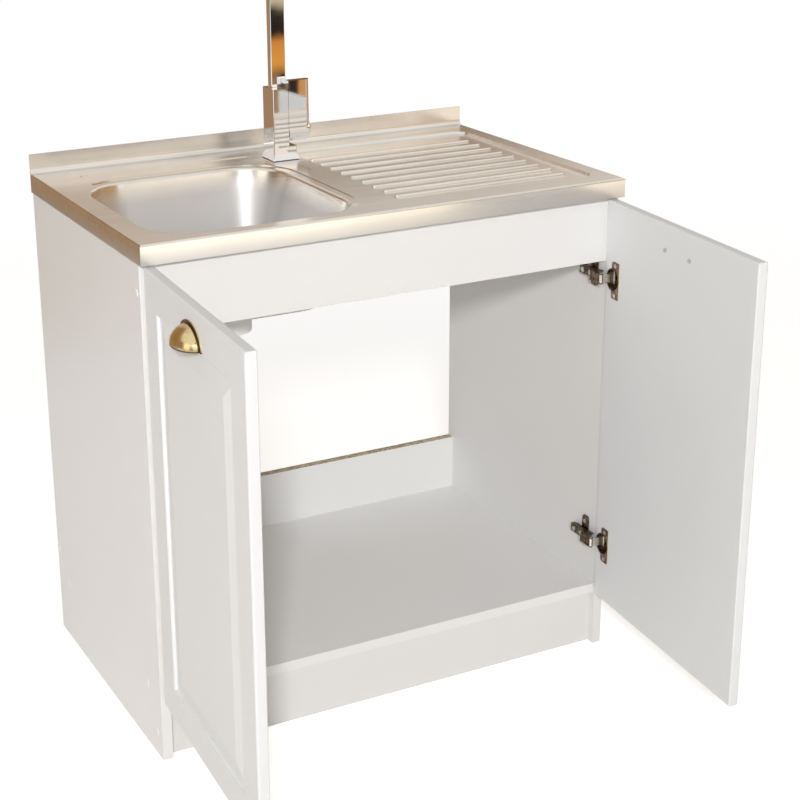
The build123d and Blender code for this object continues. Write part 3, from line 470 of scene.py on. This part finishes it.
# %% Floor
def studio_floor(reach=9.0, height=-0.0005, glow=0.60):
    """A pale sheet just under the unit; it glows a little near by, and fully far away."""
    floor = sheet("studio_floor", level(-reach, reach, -reach, reach, height))
    material, shader, wire = new_finish("pale studio floor")
    paper = noise(wire, 2.0)
    set_shader(wire, shader, Base_Color=mix(paper, (0.80, 0.78, 0.75), (0.82, 0.80, 0.77)), Roughness=0.9)
    distance = wire.node("VectorMath", {"operation": "LENGTH"}, {0: place_of(wire)}, output="Value")
    far = ramp(distance / reach, (0.14, 0.0), (0.36, 1.0))
    near_glow = wire.node("Emission", inputs={"Strength": glow})
    full_glow = wire.node("Emission", inputs={"Strength": 1.0})
    lit = Wire(wire.tree, shader.outputs[0])
    lifted = wire.node("AddShader", inputs={0: lit, 1: near_glow})
    white = wire.node("MixShader", inputs={0: far, 1: lifted, 2: full_glow})
    whole = wire.node("MixShader", inputs={0: any_view(wire), 1: lit, 2: white})
    wire.plug(wire.tree.nodes["Material Output"].inputs["Surface"], whole)
    floor.data.materials.append(material)
    print("floor", 2 * reach, "m square")


studio_floor()

# %% [markdown]
# ## Cards for the metal to mirror
# Steel and chrome have no look of their own: they show the room. In an all white studio they turn
# to milk. So a photographer stands cards around them, and so do we. Only mirror rays see the
# cards, so they never shade the boards or enter the picture. A card is a sheet that glows in the
# colours of its pattern.


# %% A card
def mirror_card(name, corners, pattern):
    """A glowing card that shows in metal only; pattern makes its colour from a wire."""
    card = sheet(name, corners)
    for kind in ("camera", "diffuse", "transmission", "shadow", "volume_scatter"):
        setattr(card, "visible_" + kind, False)
    material, shader, wire = new_finish(name)
    glow = wire.node("Emission", inputs={"Color": pattern(wire), "Strength": 1.0})
    wire.plug(wire.tree.nodes["Material Output"].inputs["Surface"], glow)
    card.data.materials.append(material)
    print(name, "stands at", corners[0])


def facing_front(left, right, low, high, depth):
    """Corners of an upright card that runs from left to right."""
    return [(left, depth, low), (right, depth, low), (right, depth, high), (left, depth, high)]


def facing_side(front, back, low, high, across):
    """Corners of an upright card that runs from front to back."""
    return [(across, front, low), (across, back, low), (across, back, high), (across, front, high)]


# %% [markdown]
# ## Walls, ceiling and floor of the room
# Seen from the camera, the flat deck mirrors the wall behind: tan where the bowl is, dark brown
# low down behind the drainer, and pale higher up. The ribs and beads mirror the pale ceiling. The
# upstand mirrors the front wall by way of the deck, and that wall is dark at the left and bright
# at the right. The folded front mirrors a white board on the floor. What faces left shows a brown
# wall, and what faces right an amber one. Each wall starts at its own height, and below that the
# metal mirrors the pale floor.

# %% Size of the room
room_left = -4.6
room_right = 3.2
room_front = -4.4
room_back = 1.6
room_top = 3.0
print("room", round(room_right - room_left, 1), "m wide and", room_back - room_front, "m deep")


# %% Patterns of the room
def tan_wall(wire):
    """Warm plaster: tan at the left and brown low down at the right, with a paler wall above."""
    mottled = (along(wire, "X") + 0.5 + 0.5 * noise(wire, 3.5, 3.0)) / 3.0
    low = ramp(mottled, (0.28, (0.48, 0.38, 0.29)), (0.46, (0.17, 0.10, 0.05)),
               (0.66, (0.24, 0.12, 0.04)), (0.80, (0.36, 0.25, 0.15)))
    high = ramp(mottled, (0.30, (0.68, 0.58, 0.49)), (0.48, (0.92, 0.86, 0.80)),
                (0.80, (0.92, 0.87, 0.81)))
    return mix(ramp(along(wire, "Z") / 2.0, (0.62, 0.0), (0.635, 1.0)), low, high)


def brown_wall(wire):
    return mix(noise(wire, 1.6, 2.0), (0.30, 0.18, 0.09), (0.42, 0.27, 0.16))


def amber_wall(wire):
    return mix(noise(wire, 1.6, 2.0), (0.46, 0.25, 0.10), (0.60, 0.37, 0.18))


def plaster(wire):
    return mix(noise(wire, 1.0, 2.0), (0.84, 0.81, 0.77), (0.98, 0.96, 0.93))


def dim_room(wire):
    """A dark left side that gets brighter to the right."""
    drifting = (along(wire, "X") - room_left + 0.8 * noise(wire, 1.2, 3.0)) / 8.0
    lit = ramp(drifting, (0.10, 0.0), (0.52, 0.05), (0.80, 0.8), (0.95, 1.0))
    return mix(lit, (0.22, 0.18, 0.14), (1.35, 1.22, 1.08))


def bright_board(wire):
    """A white board, brightest a little left of its middle."""
    drifting = (along(wire, "X") + 0.5 * noise(wire, 1.5, 2.0)) / 3.0
    shade = ramp(drifting, (0.30, 0.45), (0.48, 0.0), (0.85, 1.0))
    return mix(shade, (1.85, 1.71, 1.46), (1.2, 1.09, 0.92))


# %% Stand the room's cards
wall_turns_brown = -0.45
back_right = facing_front(wall_turns_brown, room_right, low=0.86, high=room_top, depth=room_back)
back_left = facing_front(room_left, wall_turns_brown, low=0.12, high=room_top, depth=room_back)
front = facing_front(room_left, room_right, low=0.45, high=room_top, depth=room_front)
left_side = facing_side(room_front, room_back, low=0.25, high=room_top, across=room_left)
right_side = facing_side(room_front, room_back, low=0.05, high=room_top, across=room_right)
overhead = level(room_left, room_right, room_front, room_back, height=room_top)
on_the_floor = level(left=0.0, right=3.0, front=-4.0, back=-1.5, height=0.01)

mirror_card("tan_card", back_right, tan_wall)
mirror_card("brown_card", back_left, brown_wall)
mirror_card("front_card", front, dim_room)
mirror_card("left_card", left_side, dim_room)
mirror_card("right_card", right_side, amber_wall)
mirror_card("ceiling_card", overhead, plaster)
mirror_card("floor_card", on_the_floor, bright_board)

# %% [markdown]
# ## A striped card for the tap
# The tap's flat fronts would each mirror one even tone. A real room gives them bands: level ones
# of amber, black and cream in the tall spout, and upright ones in the lever. So one small striped
# card stands in front, to the right, just where those faces look.


# %% Stripes
def striped_room(wire):
    """Level bands above and upright bars below, bent a little as in a real room."""
    across = along(wire, "X") + 0.03 * noise(wire, 9.0, 2.0)
    height = along(wire, "Z") + 0.10 * noise(wire, 7.0, 3.0)
    level_bands = ramp(
        height, (0.60, (0.34, 0.20, 0.10)), (0.755, (0.26, 0.13, 0.05)), (0.79, (0.80, 0.34, 0.06)),
        (0.845, (0.66, 0.26, 0.05)), (0.86, (0.02, 0.016, 0.013)), (0.91, (0.03, 0.024, 0.02)),
        (0.93, (0.66, 0.55, 0.36)), (1.0, (0.78, 0.70, 0.54)))
    upright_bars = ramp(
        across, (0.575, (0.36, 0.22, 0.12)), (0.60, (0.30, 0.18, 0.10)), (0.612, (0.02, 0.016, 0.013)),
        (0.632, (0.03, 0.02, 0.015)), (0.638, (0.72, 0.34, 0.10)), (0.66, (0.50, 0.30, 0.16)),
        (0.68, (0.80, 0.74, 0.64)))
    return mix(height > 0.755, upright_bars, level_bands)


before_the_tap = facing_front(left=0.35, right=1.1, low=0.60, high=1.02, depth=-0.9)
mirror_card("striped_card", before_the_tap, striped_room)

# %% [markdown]
# ## Lamps
# The key lamp is small and stands behind and above the camera, so that shadows are crisp but hide
# behind what throws them, except inside the cupboard, where the rail shades the side panel. White
# boards need far more of it than steel can bear, so it is two lamps in one place: a strong one for
# matt surfaces, and a weaker and wider one for shiny ones. A soft warm lamp fills in from the left.


# %% Stand the lamps
def soft_lamp(name, place, target, size, power, tint=(1.0, 1.0, 1.0)):
    """A square area lamp that faces a point."""
    data = bpy.data.lights.new(name, "AREA")
    data.shape = "SQUARE"
    data.size = size
    data.energy = power
    data.color = tint
    lamp = bpy.data.objects.new(name, data)
    bpy.context.scene.collection.objects.link(lamp)
    lamp.location = place
    lamp.rotation_euler = (Vector(target) - Vector(place)).to_track_quat("-Z", "Y").to_euler()
    lamp.visible_camera = False
    print(name, size, "m wide,", power, "watts")
    return lamp


key_place = (-2.65, -5.09, 3.06)
cabinet_middle = (0.0, 0.1, 0.6)
key = soft_lamp("key", key_place, cabinet_middle, size=0.5, power=240.0)
key.visible_glossy = False
sparkle = soft_lamp("sparkle", key_place, cabinet_middle, size=1.5, power=160.0)
sparkle.visible_diffuse = False

fill_place = (-3.4, -0.9, 1.5)
cabinet_left = (-0.3, 0.1, 0.5)
warm_white = (1.0, 0.90, 0.79)
soft_lamp("left_fill", fill_place, cabinet_left, size=1.8, power=13.0, tint=warm_white)

# %% [markdown]
# ## World
# The world fills in from all round, a little warmer than the key lamp. The camera and mirrors see
# it as plain white, which gives the picture its white background.


# %% World
def studio_world(fill=0.35, tint=(1.0, 0.95, 0.90)):
    """Weak warm light from all round, which the camera and mirrors see as white."""
    world = bpy.data.worlds.new("studio")
    bpy.context.scene.world = world
    world.use_nodes = True
    wire = Wire(world.node_tree)
    seen = any_view(wire)
    sky = world.node_tree.nodes["Background"]
    wire.plug(sky.inputs["Color"], mix(seen, tint, (1.0, 1.0, 1.0)))
    wire.plug(sky.inputs["Strength"], fill + (1.0 - fill) * seen)
    print("world fills with", fill)


studio_world()

# %% [markdown]
# ## Camera
# The camera stands to the left of the unit and looks slightly down, with a short telephoto lens.
# The lens is shifted a little, as the picture is framed off centre.

# %% Camera
camera_data = bpy.data.cameras.new("camera")
camera_data.sensor_width = 36.0
camera_data.lens = 75.80
camera_data.shift_x = 0.1136
camera_data.shift_y = -0.0825
camera = bpy.data.objects.new("camera", camera_data)
bpy.context.scene.collection.objects.link(camera)
camera.location = (-1.1484, -2.1203, 1.4087)
camera.rotation_euler = Euler([math.radians(a) for a in (71.682, 1.014, -25.983)])
bpy.context.scene.camera = camera
bpy.context.scene.view_settings.view_transform = "Standard"
print("camera at", [round(x, 3) for x in camera.location])
